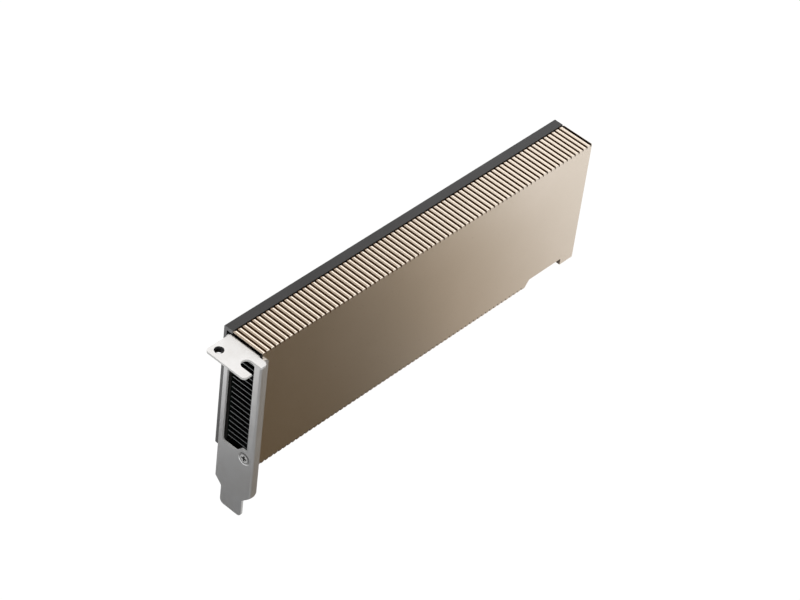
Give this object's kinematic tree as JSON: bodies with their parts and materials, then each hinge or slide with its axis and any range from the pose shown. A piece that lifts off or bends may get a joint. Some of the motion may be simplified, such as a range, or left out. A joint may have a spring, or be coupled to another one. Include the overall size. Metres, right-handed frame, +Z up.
{
  "type": "passive accelerator card",
  "caption": "Low profile accelerator card: a slotted shroud over an air cooled fin stack, a board with an edge connector, a backplate and a vented slot bracket.",
  "frame": {"origin": "middle of the edge connector's lower edge, in the mid plane of the circuit board", "axes": "+X from the bracket towards the far end, +Y out through the backplate, +Z up from the connector to the top edge"},
  "size_m": [0.1799, 0.0221, 0.0804],
  "materials": {
    "shroud": "champagne gold anodised, fine satin",
    "backplate": "dark grey anodised, satin",
    "bracket": "satin nickel plate",
    "board": "dark solder mask over glass fibre laminate",
    "contact": "hard gold plate",
    "fin": "plain rolled sheet",
    "base": "plain milled copper",
    "package": "green laminate",
    "silicon": "polished silicon",
    "paste": "grey thermal paste",
    "frame": "plain stamped stiffener",
    "chip": "black moulding compound",
    "pad": "grey blue thermal pad",
    "inductor": "pressed iron powder",
    "bulk": "moulded polymer capacitor",
    "ceramic": "tan ceramic",
    "crystal": "plain metal can",
    "screw": "bright zinc plate",
    "insert": "plain turned steel"
  },
  "bodies": {
    "root": {"backplate": "backplate", "backplate_screws": "screw", "bracket_screw": "screw", "bracket_top_screw": "screw", "bulk_capacitor_1": "bulk", "bulk_capacitor_2": "bulk", "bulk_capacitor_3": "bulk", "bulk_capacitor_4": "bulk", "ceramic_capacitors": "ceramic", "circuit_board": "board", "clock_crystal": "crystal", "contact_fingers": "contact", "coupling_capacitors": "ceramic", "die_paste": "paste", "fin_stack": "fin", "firmware_chip": "chip", "gpu_die": "silicon", "gpu_frame": "frame", "gpu_substrate": "package", "heatsink_base": "base", "heatsink_screws": "screw", "io_bracket": "bracket", "memory_chip_1": "chip", "memory_chip_2": "chip", "memory_chip_3": "chip", "memory_chip_4": "chip", "memory_pad_1": "pad", "memory_pad_2": "pad", "memory_pad_3": "pad", "memory_pad_4": "pad", "power_inductor_1": "inductor", "power_inductor_2": "inductor", "power_inductor_3": "inductor", "power_inductor_4": "inductor", "power_pad": "pad", "power_stage_1": "chip", "power_stage_2": "chip", "power_stage_3": "chip", "power_stage_4": "chip", "rear_memory_chip_1": "chip", "rear_memory_chip_2": "chip", "rear_memory_chip_3": "chip", "rear_memory_chip_4": "chip", "rear_memory_pad_1": "pad", "rear_memory_pad_2": "pad", "rear_memory_pad_3": "pad", "rear_memory_pad_4": "pad", "shroud": "shroud", "spring_washers": "screw", "tab_insert": "insert", "voltage_controller": "chip"}
  },
  "joints": []
}
